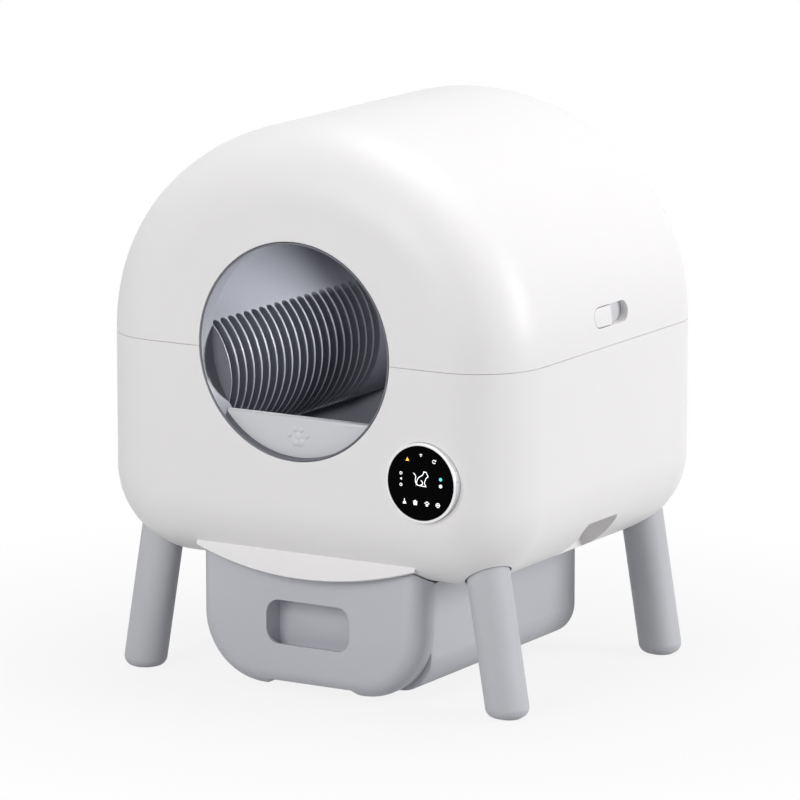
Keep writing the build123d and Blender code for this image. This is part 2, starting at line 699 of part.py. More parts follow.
def make_gear(teeth, bore_r, x, z, turn):
    """A spur gear about a Y axis, in the plane of the drum's ring gear."""
    sketch = make_face(Polyline(*gear_outline(teeth, GEAR_BACKLASH / 2), close=True)) - Circle(bore_r)
    gear = extrude(Plane.XZ * Rot(0, 0, turn) * sketch, -GEAR_WIDTH)
    return Pos(x, GEAR_OFFSET, z) * gear


def make_ring_gear():
    return make_gear(RING_TEETH, DRUM_R + SLIP_GAP, 0, AXIS_Z, 0)


def make_drive_pinion():
    """The pinion, turned so that a gap faces the ring tooth on the line of centres."""
    line = PINION_ANGLE - 90
    ring_phase = (line * RING_TEETH / 360) % 1
    turn = line + 180 + (ring_phase + 0.5) * 360 / PINION_TEETH
    return make_gear(PINION_TEETH, SHAFT_R, PINION_X, PINION_Z, turn)


def make_motor_shaft():
    return rod(SHAFT_R, GEAR_OFFSET, MOTOR_Y + MOTOR_R, PINION_X, PINION_Z)


def make_drive_motor():
    """Gear motor: a wide gearbox with the motor can behind it."""
    gearbox = rod(MOTOR_R, MOTOR_Y, MOTOR_Y + MOTOR_LENGTH / 2, PINION_X, PINION_Z)
    can = rod(MOTOR_R - BRACKET_RIM, MOTOR_Y + MOTOR_LENGTH / 2, MOTOR_Y + MOTOR_LENGTH, PINION_X, PINION_Z)
    bore = rod(SHAFT_R + RUN_FIT, MOTOR_Y, MOTOR_Y + MOTOR_R + SLIP_GAP, PINION_X, PINION_Z)
    return gearbox + can - bore


def bracket_foot_x():
    inner = CHASSIS_HALF + BRACKET_FOOT_GAP
    return inner, inner + BRACKET_FOOT_WIDTH


def bracket_screw_places():
    y = BRACKET_Y - BRACKET_FOOT_LENGTH / 2
    return [(x + way * BRACKET_FOOT_WIDTH / 4, y) for x, way in zip(bracket_foot_x(), (1, -1))]


def make_motor_bracket():
    """A plate behind the pinion that carries the motor, with a foot on the housing floor."""
    y_range = (BRACKET_Y, BRACKET_Y + BRACKET_PLATE)
    foot_x = bracket_foot_x()
    plate = rod(MOTOR_R, *y_range, PINION_X, PINION_Z)
    plate += block((foot_x[0], PINION_X), y_range, (PINION_Z - MOTOR_R, PINION_Z))
    plate += block(foot_x, y_range, (FLOOR_Z, PINION_Z))
    plate += block(foot_x, (BRACKET_Y - BRACKET_FOOT_LENGTH, BRACKET_Y), (FLOOR_Z, FLOOR_Z + BRACKET_PLATE))
    plate -= rod(SHAFT_R + BRACKET_RIM / 2, *y_range, PINION_X, PINION_Z)
    plate -= rod(GEAR_TIP_R + BRACKET_GAP, *y_range, 0, AXIS_Z)
    return (plate & BODY_INNER) - floor_screw_holes(bracket_screw_places(), BRACKET_PLATE)


def make_bracket_screws():
    return floor_screws(bracket_screw_places(), BRACKET_PLATE)


def make_chassis():
    """Plate on the housing floor with four ears for the roller axles."""
    half_y = EAR_OFFSET + EAR_WIDTH
    plate = block((-CHASSIS_HALF, CHASSIS_HALF), (-half_y, half_y), (FLOOR_Z, CHASSIS_TOP))
    gap_x = CHUTE_WIDTH / 2 + CHUTE_WALL + SLIP_GAP
    gap_y = CHUTE_LENGTH / 2 + CHUTE_WALL + SLIP_GAP
    plate -= block((-gap_x, gap_x), (-gap_y, gap_y), (FLOOR_Z, CHASSIS_TOP))
    for _, side in SIDES:
        x = side * ROLLER_X
        for _, end in ENDS:
            y_range = sorted((end * EAR_OFFSET, end * (EAR_OFFSET + EAR_WIDTH)))
            ear = rod(EAR_R, *y_range, x, ROLLER_Z)
            ear += block((x - EAR_FOOT / 2, x + EAR_FOOT / 2), y_range, (CHASSIS_TOP, ROLLER_Z))
            plate += ear
            plate -= rod(SHAFT_R + RUN_FIT, *y_range, x, ROLLER_Z)
    return plate - floor_screw_holes(chassis_screw_places(), CHASSIS_PLATE)


def make_chassis_screws():
    return floor_screws(chassis_screw_places(), CHASSIS_PLATE)


def make_roller_axle(side):
    """Axle with two thrust collars that run beside the drum flange."""
    x = side * ROLLER_X
    reach = EAR_OFFSET + EAR_WIDTH
    axle = rod(SHAFT_R, -reach, reach, x, ROLLER_Z)
    start = FLANGE_WIDTH + 2 * SLIP_GAP
    for _, end in ENDS:
        y_range = sorted((end * start, end * (start + COLLAR_WIDTH)))
        axle += rod(COLLAR_R, *y_range, x, ROLLER_Z)
        y_range = sorted((end * (TYRE_OFFSET - TYRE_WIDTH / 2), end * (TYRE_OFFSET + TYRE_WIDTH / 2)))
        axle += rod(TYRE_BORE, *y_range, x, ROLLER_Z)
    return axle


def make_roller_tyres(side):
    tyres = []
    for _, end in ENDS:
        y_range = sorted((end * (TYRE_OFFSET - TYRE_WIDTH / 2), end * (TYRE_OFFSET + TYRE_WIDTH / 2)))
        x = side * ROLLER_X
        tyres.append(rod(TYRE_R, *y_range, x, ROLLER_Z) - rod(TYRE_BORE + RUN_FIT, *y_range, x, ROLLER_Z))
    return tyres


def make_waste_chute():
    """Rectangular tube from under the drum into the drawer, with a flange on the chassis."""
    half_x = CHUTE_WIDTH / 2
    half_y = CHUTE_LENGTH / 2
    out_x = half_x + CHUTE_WALL
    out_y = half_y + CHUTE_WALL
    tube = block((-out_x, out_x), (-out_y, out_y), (LEG_HEIGHT - CHUTE_BELOW, CHASSIS_TOP + CHUTE_RISE))
    rim_x = out_x + CHUTE_FLANGE
    rim_y = out_y + CHUTE_FLANGE
    tube += block((-rim_x, rim_x), (-rim_y, rim_y), (CHASSIS_TOP, CHASSIS_TOP + CHUTE_WALL))
    return tube - block((-half_x, half_x), (-half_y, half_y), (0, AXIS_Z))


def tub_outline(half, low, top, corner):
    """Upright outline with a flat bottom, two rounded lower corners and a flat top."""
    with BuildSketch(Plane.XZ) as outline:
        with BuildLine():
            Line((corner - half, low), (half - corner, low))
            CenterArc((half - corner, low + corner), corner, -90, 90)
            CenterArc((corner - half, low + corner), corner, 180, 90)
            Polyline((half, low + corner), (half, top), (-half, top), (-half, low + corner))
        make_face()
    return outline.sketch


def tub(half, low, top, corner, y_start, y_end):
    """A tub outline along Y from y_start to y_end."""
    return Pos(0, y_start, 0) * extrude(tub_outline(half, low, top, corner), y_start - y_end)


def front_panel_block(inset):
    """The drawer front as a solid with a rounded front edge, set in by inset."""
    solid = tub(DRAWER_HALF - inset, DRAWER_FLOOR_GAP + inset, FLOOR_Z + ROUND, DRAWER_CORNER - inset,
                DRAWER_FRONT_Y + inset, DRAWER_BACK_Y)
    face = solid.faces().sort_by(Axis.Y)[0]
    edges = [e for e in face.edges() if e.center().Z < ROUND_Z]
    return fillet(edges, DRAWER_FRONT_ROUND - inset)


def under_hood():
    """The space over the drawer front, bounded below by the hood's curved edge."""
    with BuildSketch(Plane.XZ) as space:
        with BuildLine():
            ThreePointArc((-HOOD_HALF, HOOD_END_LOW), (0, HOOD_LOW), (HOOD_HALF, HOOD_END_LOW))
            Polyline((HOOD_HALF, HOOD_END_LOW), (DRAWER_HALF + ROUND, HOOD_END_LOW),
                     (DRAWER_HALF + ROUND, BODY_TOP), (-DRAWER_HALF - ROUND, BODY_TOP),
                     (-DRAWER_HALF - ROUND, HOOD_END_LOW), (-HOOD_HALF, HOOD_END_LOW))
        make_face()
    return extrude(space.sketch, BODY_DEPTH)


def handle_mouth():
    """The rounded mouth of the handle recess, through the front wall."""
    sketch = RectangleRounded(HANDLE_WIDTH, HANDLE_HEIGHT, HANDLE_CORNER)
    return Pos(0, DRAWER_FRONT_Y, HANDLE_Z) * extrude(Plane.XZ * sketch, -DRAWER_FRONT_WALL)


def handle_cup(grow):
    """The box behind the handle's mouth, sunk below it for the fingers, grown by grow."""
    half = HANDLE_WIDTH / 2 + grow
    y_range = (DRAWER_FRONT_Y + DRAWER_FRONT_WALL, DRAWER_FRONT_Y + HANDLE_DEPTH + grow)
    low = HANDLE_Z - HANDLE_HEIGHT / 2 - HANDLE_SINK - grow
    return block((-half, half), y_range, (low, HANDLE_Z + HANDLE_HEIGHT / 2 + grow))


def bottom_notch(grow):
    """The shallow notch in the drawer's lower edge, with sloped ends, grown by grow."""
    low = DRAWER_FLOOR_GAP
    high = low + NOTCH_HEIGHT + grow
    half = NOTCH_HALF + grow
    wide = half + NOTCH_SLOPE
    outline = Polyline((-wide, low), (-half, high), (half, high), (wide, low), close=True)
    return Pos(0, DRAWER_BACK_Y, 0) * extrude(Plane.XZ * make_face(outline), DRAWER_FRONT_DEPTH)


def drawer_screw_places():
    return [(i * DRAWER_SCREW_X, DRAWER_SCREW_Z) for i in (-1, 1)]


def make_drawer_front():
    """Hollow front panel with its handle recess, a walled notch and two screw bosses."""
    panel = front_panel_block(0) - front_panel_block(DRAWER_FRONT_WALL)
    panel += bottom_notch(DRAWER_FRONT_WALL) & front_panel_block(0)
    panel += handle_cup(HANDLE_WALL)
    panel -= [handle_mouth(), handle_cup(0)]
    for x, z in drawer_screw_places():
        panel += rod(DRAWER_BOSS_R, DRAWER_FRONT_Y + DRAWER_FRONT_WALL / 2, DRAWER_BACK_Y, x, z)
        panel -= rod(DRAWER_SCREW_R + RUN_FIT, DRAWER_BACK_Y - DRAWER_SCREW_BITE, DRAWER_BACK_Y, x, z)
    return panel - under_hood() - body_block(-DRAWER_BODY_GAP) - bottom_notch(0)


def bin_block(inset):
    """The bin as a solid with rounded back edges, set in by inset."""
    low = DRAWER_FLOOR_GAP + NOTCH_HEIGHT + inset
    corner = BIN_CORNER - inset
    return tub(BIN_HALF - inset, low, BIN_TOP, corner, DRAWER_BACK_Y + inset, BIN_BACK - inset)


def make_drawer_bin():
    """The waste bin, with rims that run on the rails and a back wall low enough to pass below them."""
    outer = bin_block(0)
    outer = fillet(outer.faces().sort_by(Axis.Y)[-1].edges(), BIN_ROUND)
    bin_solid = outer - bin_block(BIN_WALL)
    inside_y = (DRAWER_BACK_Y + BIN_WALL, BIN_BACK - BIN_WALL)
    rim = block((BIN_INSIDE - RIM_REACH, BIN_INSIDE), inside_y, (RIM_LOW, RIM_LOW + RIM_HEIGHT))
    ledge_z = (BAG_FRAME_LOW - LEDGE_WIDTH, BAG_FRAME_LOW)
    ledge = block((BIN_INSIDE - LEDGE_WIDTH, BIN_INSIDE), inside_y, ledge_z)
    bin_solid += both_sides(rim) + both_sides(ledge)
    bin_solid -= block((-BIN_INSIDE, BIN_INSIDE), (BIN_BACK - BIN_WALL, BIN_BACK), (BAG_FRAME_LOW, BIN_TOP))
    for x, z in drawer_screw_places():
        bin_solid -= rod(DRAWER_SCREW_R + RUN_FIT, DRAWER_BACK_Y, DRAWER_BACK_Y + BIN_WALL, x, z)
    return bin_solid


def make_drawer_screws():
    screws = []
    for x, z in drawer_screw_places():
        start = DRAWER_BACK_Y + BIN_WALL
        head = rod(DRAWER_SCREW_HEAD_R, start, start + DRAWER_SCREW_HEAD, x, z)
        screws.append(head + rod(DRAWER_SCREW_R, DRAWER_BACK_Y - DRAWER_SCREW_BITE, start, x, z))
    return screws


def make_bag_frame():
    """The frame on the bin's ledges that holds the edge of a waste bag."""
    y_range = (DRAWER_BACK_Y + BIN_WALL + SLIP_GAP, BIN_BACK - BIN_WALL)
    z_range = (BAG_FRAME_LOW, BAG_FRAME_LOW + BAG_FRAME_HEIGHT)
    outer = BIN_INSIDE - SLIP_GAP
    inner = outer - BAG_FRAME_WIDTH
    hole_y = (y_range[0] + BAG_FRAME_WIDTH, y_range[1] - BAG_FRAME_WIDTH)
    return block((-outer, outer), y_range, z_range) - block((-inner, inner), hole_y, z_range)


def make_drawer_rail(side):
    """An L rail under the housing, inside the bin's wall, that carries the bin's rim."""
    lip_far = BIN_INSIDE - 2 * SLIP_GAP
    web_far = lip_far - RAIL_LIP
    y_range = (DRAWER_BACK_Y + RAIL_INSET, BIN_BACK - RAIL_BACK_GAP)
    web = block((web_far - RAIL_WALL, web_far), y_range, (RAIL_LOW, FLOOR_Z))
    lip = block((web_far, lip_far), y_range, (RAIL_LOW, RAIL_LIP_TOP))
    return on_side(side, web + lip - BODY_OUTER)


def display_rod(radius, y_start, y_end):
    return rod(radius, y_start, y_end, DISPLAY_X, DISPLAY_Z)


def make_display_bezel():
    """Silver tube in the housing's boss, with a seat for the glass."""
    glass_back = DISPLAY_FACE + GLASS_SET + GLASS_HEIGHT
    tube = display_rod(BEZEL_R, DISPLAY_FACE, BEZEL_BACK)
    rim = tube.faces().sort_by(Axis.Y)[0]
    tube = fillet(rim.edges(), BEZEL_EDGE)
    tube -= display_rod(DISPLAY_R + SLIP_GAP, DISPLAY_FACE, glass_back)
    tube -= display_rod(DISPLAY_R - GLASS_SEAT, glass_back, glass_back + GLASS_SEAT)
    return tube - display_rod(DISPLAY_R, glass_back + GLASS_SEAT, BEZEL_BACK)


def make_display_glass():
    return display_rod(DISPLAY_R, DISPLAY_FACE + GLASS_SET, DISPLAY_FACE + GLASS_SET + GLASS_HEIGHT)


def make_display_board():
    return display_rod(DISPLAY_R - GLASS_SEAT, DISPLAY_BOARD_Y, DISPLAY_BOARD_Y + BOARD_THICK)


def make_display_cap():
    """Cap on the back of the boss, with pins that hold the board."""
    cap = display_rod(BEZEL_R + BOSS_WALL, BEZEL_BACK, BEZEL_BACK + CAP_HEIGHT)
    for i in range(CAP_PINS):
        turn = radians(360 / CAP_PINS * i)
        x = DISPLAY_X + CAP_PIN_CIRCLE * cos(turn)
        z = DISPLAY_Z + CAP_PIN_CIRCLE * sin(turn)
        cap += rod(CAP_PIN_R, DISPLAY_BOARD_Y + BOARD_THICK, BEZEL_BACK, x, z)
    return cap


def make_control_board():
    """Board with three packages on its top."""
    half_x = BOARD_LENGTH / 2
    half_y = BOARD_WIDTH / 2
    top = BOARD_Z + BOARD_THICK
    board = block((BOARD_X - half_x, BOARD_X + half_x), (BOARD_Y - half_y, BOARD_Y + half_y), (BOARD_Z, top))
    for i in (-1, 0, 1):
        x = BOARD_X + i * BOARD_LENGTH / 3
        board += block((x - CHIP_WIDTH / 2, x + CHIP_WIDTH / 2),
                       (BOARD_Y - CHIP_WIDTH / 2, BOARD_Y + CHIP_WIDTH / 2), (top, top + CHIP_HEIGHT))
    return board


def make_power_inlet():
    """Round socket let into the back wall, with a flange inside and a centre pin."""
    back = BACK_Y
    inlet = rod(INLET_R, back - INLET_LENGTH, back, INLET_X, INLET_Z)
    inlet += rod(INLET_FLANGE_R, back - WALL - INLET_FLANGE, back - WALL, INLET_X, INLET_Z)
    inlet -= rod(INLET_SOCKET_R, back - INLET_SOCKET_DEPTH, back, INLET_X, INLET_Z)
    return inlet + rod(INLET_PIN_R, back - INLET_SOCKET_DEPTH, back - WALL, INLET_X, INLET_Z)


def make_entry_sensor():
    """Motion sensor on the inside of the cover, over the entry."""
    half = SENSOR_WIDTH / 2
    inside = FRONT_Y + ROUND - sqrt((ROUND - WALL) ** 2 - SENSOR_OVER ** 2)
    sensor = block((-half, half), (FRONT_Y, inside + SENSOR_DEPTH), (SENSOR_LOW, SENSOR_TOP))
    return sensor & BODY_INNER


def make_home_magnet():
    half = MAGNET_SIZE / 2
    top = AXIS_Z - DRUM_R - RUN_FIT
    return block((-half, half), (MAGNET_Y - half, MAGNET_Y + half), (top - MAGNET_HEIGHT, top))


def make_hall_sensor():
    half = HALL_WIDTH / 2
    top = AXIS_Z - DRUM_R - MAGNET_HEIGHT - HALL_GAP
    return block((-half, half), (MAGNET_Y - HALL_LENGTH / 2, MAGNET_Y + HALL_LENGTH / 2), (CHASSIS_TOP, top))


def arc_bar(inner, outer, start, sweep, y_start, y_end, x, z):
    """A ring sector about a Y axis at x, z, from angle start over sweep."""
    with BuildSketch(Plane.XZ) as sector:
        with BuildLine():
            rim = CenterArc((0, 0), outer, start, sweep)
            hole = CenterArc((0, 0), inner, start, sweep)
            Line(rim @ 0, hole @ 0)
            Line(rim @ 1, hole @ 1)
        make_face()
    return Pos(x, y_start, z) * extrude(sector.sketch, y_start - y_end)


def sieve_slot():
    """One slot through the sieve, with round ends, at y = 0."""
    outer = SIEVE_R + SIEVE_WALL
    inner = SIEVE_R - SIEVE_RIB_DEPTH - SIEVE_WALL
    half = SIEVE_SLOT / 2
    trim = degrees(half / SIEVE_R)
    start = SIEVE_BOTTOM_ANGLE + trim
    sweep = SIEVE_TOP_ANGLE - SIEVE_BOTTOM_ANGLE - 2 * trim
    slot = arc_bar(inner, outer, start, sweep, -half, half, 0, 0)
    round_end = Rot(0, 90, 0) * up_cylinder(half, inner, outer)
    slot += [Rot(0, -start, 0) * round_end, Rot(0, -start - sweep, 0) * round_end]
    return slot


def make_sieve():
    """Slotted hump in the drum, closed behind its front slots, with a smooth panel up to the drum wall."""
    wide = BODY_DEPTH
    bottom = -90 - SIEVE_TOP_ANGLE
    hump = arc_bar(SIEVE_R - SIEVE_WALL, SIEVE_R, bottom, SIEVE_TOP_ANGLE - bottom, -wide, wide, 0, 0)
    ribs = SIEVE_TOP_ANGLE - SIEVE_BOTTOM_ANGLE
    hump += arc_bar(SIEVE_R - SIEVE_RIB_DEPTH, SIEVE_R, SIEVE_BOTTOM_ANGLE, ribs, -wide, wide, 0, 0)
    panel = block((SIEVE_R - SIEVE_WALL, SIEVE_R), (-wide, wide), (0, SIEVE_PANEL_LENGTH))
    hump += Rot(0, -SIEVE_TOP_ANGLE, 0) * panel
    slot = sieve_slot()
    hump -= [Pos(0, SIEVE_FIRST + i * SIEVE_PITCH, 0) * slot for i in range(SIEVE_SLOTS)]
    rib_y = SIEVE_FIRST + (SIEVE_OPEN_SLOTS - 1) * SIEVE_PITCH + SIEVE_SLOT / 2
    hump += rod(SIEVE_R - SIEVE_WALL, rib_y, rib_y + SIEVE_PITCH - SIEVE_SLOT, 0, 0)
    return Pos(SIEVE_X, 0, SIEVE_Z) * hump & drum_block(DRUM_WALL + SLIP_GAP)


def paw_dome(radius, ring, turn):
    """One low dome of the paw, on a ring round its middle."""
    ball_r = (radius ** 2 + PAW_RELIEF ** 2) / (2 * PAW_RELIEF)
    x = ring * cos(radians(turn))
    z = AXIS_Z - PAW_DROP + ring * sin(radians(turn))
    ball = Pos(x, STEP_FRONT - PAW_RELIEF + ball_r, z) * Sphere(ball_r)
    return ball & rod(radius, STEP_FRONT - PAW_RELIEF, STEP_FRONT + STEP_DEPTH / 2, x, z)


def make_entry_threshold():
    """Plate that closes the bottom of the entry, with a raised paw."""
    plate = rod(NECK_INNER_R - SLIP_GAP, STEP_FRONT, STEP_FRONT + STEP_DEPTH, 0, AXIS_Z)
    plate = below(plate, STEP_TOP)
    top = plate.faces().sort_by(Axis.Z)[-1]
    plate = fillet(top.edges().filter_by(Axis.X), STEP_EDGE)
    plate += [paw_dome(PAW_PAD_R, PAW_PAD_RING, turn) for turn in PAW_PAD_ANGLES]
    return plate + [paw_dome(PAW_TOE_R, PAW_TOE_RING, turn) for turn in PAW_TOE_ANGLES]


def make_litter_mat():
    """Flexible mat along the bottom of the drum."""
    outer = DRUM_R - DRUM_WALL - SLIP_GAP
    end_gap = DRUM_ROUND + MAT_END_GAP
    y_range = (DRUM_FRONT + end_gap, DRUM_BACK - end_gap)
    return arc_bar(outer - MAT_WALL, outer, MAT_START, MAT_SWEEP, *y_range, 0, AXIS_Z)


def all_nodes():
    """Every node by name, as a shape or a list of separate solids."""
    nodes = {"lower_housing": make_lower_housing(), "top_cover": make_top_cover()}
    nodes["drum_front_shell"], nodes["drum_rear_shell"] = make_drum_shells()
    for side_name, side in SIDES:
        nodes[f"latch_button_{side_name}"] = make_latch_button(side)
        nodes[f"latch_slide_{side_name}"] = make_latch_slide(side)
        nodes[f"roller_axle_{side_name}"] = make_roller_axle(side)
        nodes[f"roller_tyres_{side_name}"] = make_roller_tyres(side)
        nodes[f"drawer_rail_{side_name}"] = make_drawer_rail(side)
        for end_name, end in ENDS:
            nodes[f"leg_{end_name}_{side_name}"] = make_leg(side, end)
    nodes["leg_seals"] = make_leg_seals()
    nodes["foot_pads"] = make_foot_pads()
    nodes["load_cells"] = make_load_cells()
    nodes["entry_collar"] = make_entry_collar()
    nodes["drum_screws"] = make_drum_screws()
    nodes["ring_gear"] = make_ring_gear()
    nodes["drive_pinion"] = make_drive_pinion()
    nodes["motor_shaft"] = make_motor_shaft()
    nodes["drive_motor"] = make_drive_motor()
    nodes["motor_bracket"] = make_motor_bracket()
    nodes["bracket_screws"] = make_bracket_screws()
    nodes["chassis"] = make_chassis()
    nodes["chassis_screws"] = make_chassis_screws()
    nodes["waste_chute"] = make_waste_chute()
    nodes["drawer_front"] = make_drawer_front()
    nodes["drawer_bin"] = make_drawer_bin()
    nodes["drawer_screws"] = make_drawer_screws()
    nodes["bag_frame"] = make_bag_frame()
    nodes["display_bezel"] = make_display_bezel()
    nodes["display_glass"] = make_display_glass()
    nodes["display_board"] = make_display_board()
    nodes["display_cap"] = make_display_cap()
    nodes["control_board"] = make_control_board()
    nodes["power_inlet"] = make_power_inlet()
    nodes["entry_sensor"] = make_entry_sensor()
    nodes["home_magnet"] = make_home_magnet()
    nodes["hall_sensor"] = make_hall_sensor()
    nodes["sieve"] = make_sieve()
    nodes["entry_threshold"] = make_entry_threshold()
    nodes["litter_mat"] = make_litter_mat()
    return nodes


os.makedirs("parts", exist_ok=True)
for name, shape in all_nodes().items():
    pieces = shape if isinstance(shape, list) else [shape]
    solids = [FRAME_SHIFT * solid for piece in pieces for solid in piece.solids()]
    export_step(Compound(solids) if len(solids) > 1 else solids[0], f"parts/{name}.step")
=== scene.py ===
import bpy
import bmesh
import json
from math import cos, radians, sin
from mathutils import Matrix, Vector


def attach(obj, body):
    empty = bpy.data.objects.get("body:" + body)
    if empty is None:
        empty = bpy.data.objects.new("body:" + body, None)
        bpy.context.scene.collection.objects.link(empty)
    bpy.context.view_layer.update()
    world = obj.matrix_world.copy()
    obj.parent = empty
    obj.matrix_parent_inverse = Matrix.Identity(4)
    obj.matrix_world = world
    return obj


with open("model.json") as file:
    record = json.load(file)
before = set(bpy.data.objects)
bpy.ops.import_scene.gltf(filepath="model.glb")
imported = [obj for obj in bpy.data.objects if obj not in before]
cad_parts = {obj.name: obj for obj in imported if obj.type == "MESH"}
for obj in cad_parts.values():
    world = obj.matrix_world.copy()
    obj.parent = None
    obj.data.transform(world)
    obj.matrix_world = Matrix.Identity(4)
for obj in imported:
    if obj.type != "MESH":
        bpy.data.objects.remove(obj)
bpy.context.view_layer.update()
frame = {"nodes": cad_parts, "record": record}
nodes = frame["nodes"]

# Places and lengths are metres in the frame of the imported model, and angles are degrees.
# The display signs are drawn in millimetres round the display's centre.
MM_PER_M = 1000

# Camera, where the photograph was taken from
CAMERA_TURN = 30.79
CAMERA_RISE = 11.15
CAMERA_SENSOR_MM = 36
CAMERA_LENS_MM = 262.8
CAMERA_CLIP = (0.1, 60)
CAMERA_TARGET = Vector((0, 0.003, 0.3))
CAMERA_DISTANCE = 6.407
CAMERA_LEFT = 0.00461
CAMERA_DOWN = 0.00835

# Finishes of the record's plastic slots: two tones, mean roughness, scale and depth of the grain
PLASTICS = {
    "shell_white": dict(name="shell_white_satin", dark=(0.805, 0.793, 0.798), light=(0.835, 0.823, 0.828),
                        rough=0.46, grain=1500.0, depth=0.00005),
    "leg_grey": dict(name="leg_grey_matt", dark=(0.495, 0.502, 0.53), light=(0.525, 0.532, 0.56),
                     rough=0.52, grain=1300.0, depth=0.00006),
    "drawer_grey": dict(name="drawer_grey_matt", dark=(0.500, 0.510, 0.545), light=(0.530, 0.540, 0.575),
                        rough=0.50, grain=1300.0, depth=0.00006),
    "drum_grey": dict(name="drum_grey_satin", dark=(0.164, 0.168, 0.194), light=(0.179, 0.183, 0.210),
                      rough=0.48, grain=1700.0, depth=0.00003, specular=0.22),
    "threshold_grey": dict(name="threshold_pale_satin", dark=(0.62, 0.625, 0.65), light=(0.66, 0.665, 0.69),
                           rough=0.42, grain=1500.0, depth=0.00004),
    "dark_plastic": dict(name="chassis_dark_plastic", dark=(0.035, 0.035, 0.04), light=(0.05, 0.05, 0.055),
                         rough=0.5, grain=1100.0, depth=0.00008),
    "gear_white": dict(name="gear_acetal", dark=(0.70, 0.69, 0.64), light=(0.76, 0.75, 0.70),
                       rough=0.38, grain=1400.0, depth=0.00003),
}

# Finishes of the rubber slots
RUBBERS = {
    "pad_grey": dict(name="foot_pad_rubber", dark=(0.34, 0.345, 0.365), light=(0.38, 0.385, 0.405)),
    "rubber": dict(name="tyre_rubber", dark=(0.045, 0.046, 0.050), light=(0.075, 0.076, 0.080)),
}

# Finishes of the metal slots, with the stretch of their brushed grain
METALS = {
    "steel": dict(name="zinc_steel", dark=(0.50, 0.51, 0.53), light=(0.66, 0.67, 0.68),
                  rough=0.34, stretch=(1.0, 18.0, 18.0)),
    "motor_metal": dict(name="motor_can", dark=(0.22, 0.22, 0.24), light=(0.33, 0.33, 0.35),
                        rough=0.42, stretch=(20.0, 1.0, 20.0)),
    "bezel_silver": dict(name="bezel_satin_silver", dark=(0.72, 0.72, 0.73), light=(0.83, 0.83, 0.84),
                         rough=0.30, stretch=(20.0, 1.0, 20.0)),
}
PLASTIC_GLOSS_DRIFT = 0.05
METAL_GLOSS_DRIFT = 0.08
NOISE_LOW = 0.3
NOISE_HIGH = 0.7

# Display glass and circuit boards
GLASS_DARK = (0.0005, 0.0005, 0.0006)
GLASS_LIGHT = (0.0010, 0.0010, 0.0012)
GLASS_IOR = 1.5
GLASS_SPECULAR = 0.02
BOARD_DARK = (0.012, 0.085, 0.035)
BOARD_LIGHT = (0.03, 0.16, 0.07)
TRACK_SCALE = 130.0
TRACK_WANDER = 6.0

# Rounded edges: width of the bevel and its segments
SOFT_EDGES = {
    "sieve": (0.0014, 3),
    "drawer_front": (0.0012, 3),
    "drawer_bin": (0.0008, 2),
    "entry_threshold": (0.0010, 3),
    "latch_button_left": (0.0010, 3),
    "latch_button_right": (0.0010, 3),
}
WELD_DISTANCE = 0.000002
SHARP_ANGLE = 40

# Display signs, as flat shapes of (x, z) corners, in millimetres
DISPLAY_CENTRE = Vector((0.161, -0.2334, 0.2585))
ICON_HEIGHT = 0.00012
ICON_DIM_SHARE = 0.86
ICON_WELD = 1e-7
DISC_CORNERS = 24
DOT_CORNERS = 12
RING_STEP = 12
RING_LEAST_STEPS = 8
WHITE_GLOW = dict(name="icon_white", colour=(0.92, 0.93, 0.95), strength=0.85)
AMBER_GLOW = dict(name="icon_amber", colour=(0.90, 0.62, 0.03), strength=0.8)
CYAN_GLOW = dict(name="icon_cyan", colour=(0.10, 0.62, 0.72), strength=0.8)
WARNING_SIGN = [(-18.6, 22.6), (-14.2, 22.6), (-16.4, 26.6)]
SIGNAL_PLACE = (0.0, 28.9)
SIGNAL_DOT_R = 0.55
SIGNAL_RINGS = (1.35, 2.35)
SIGNAL_LINE = 0.55
SIGNAL_START = 45.0
SIGNAL_SWEEP = 90.0
AGAIN_PLACE = (16.0, 24.7)
AGAIN_R = 1.75
AGAIN_LINE = 0.75
AGAIN_START = 60.0
AGAIN_SWEEP = 275.0
AGAIN_HEAD = [(16.6, 25.2), (18.5, 25.2), (18.5, 27.1)]
LEVEL_HIGH_PLACE = (-24.3, 8.7)
LEVEL_LOW_PLACE = (-24.3, -3.6)
LEVEL_R = 1.35
LEVEL_LINE = 0.65
LEVEL_ARROW = [(-25.7, 2.7), (-23.2, 1.3), (-23.2, 4.1)]
LAMP_SIGN_X = 24.0
LAMP_SIGN_R = 1.9
READY_Z = 6.5
LOCK_Z = -0.8
SCOOP_AND_BIN = [
    [(-22.3, -23.7), (-17.7, -23.7), (-18.9, -21.0), (-21.1, -21.0)],
    [(-20.45, -20.8), (-19.55, -20.8), (-19.55, -18.3), (-20.45, -18.3)],
    [(-8.6, -24.0), (-5.0, -24.0), (-4.5, -20.9), (-9.1, -20.9)],
    [(-9.5, -20.4), (-4.1, -20.4), (-4.1, -19.6), (-9.5, -19.6)],
    [(-7.6, -19.4), (-6.0, -19.4), (-6.0, -18.7), (-7.6, -18.7)],
]
PAW_PAD_PLACE = (7.4, -22.6)
PAW_PAD_R = 1.55
PAW_TOES = [(5.3, -20.7), (6.7, -19.5), (8.3, -19.5), (9.6, -20.8)]
PAW_TOE_R = 0.72
GLOBE_PLACE = (20.7, -21.5)
GLOBE_R = 2.3
GLOBE_LINE = 0.6
GLOBE_CROSS = [
    [(18.5, -21.8), (22.9, -21.8), (22.9, -21.2), (18.5, -21.2)],
    [(20.4, -23.7), (21.0, -23.7), (21.0, -19.3), (20.4, -19.3)],
]
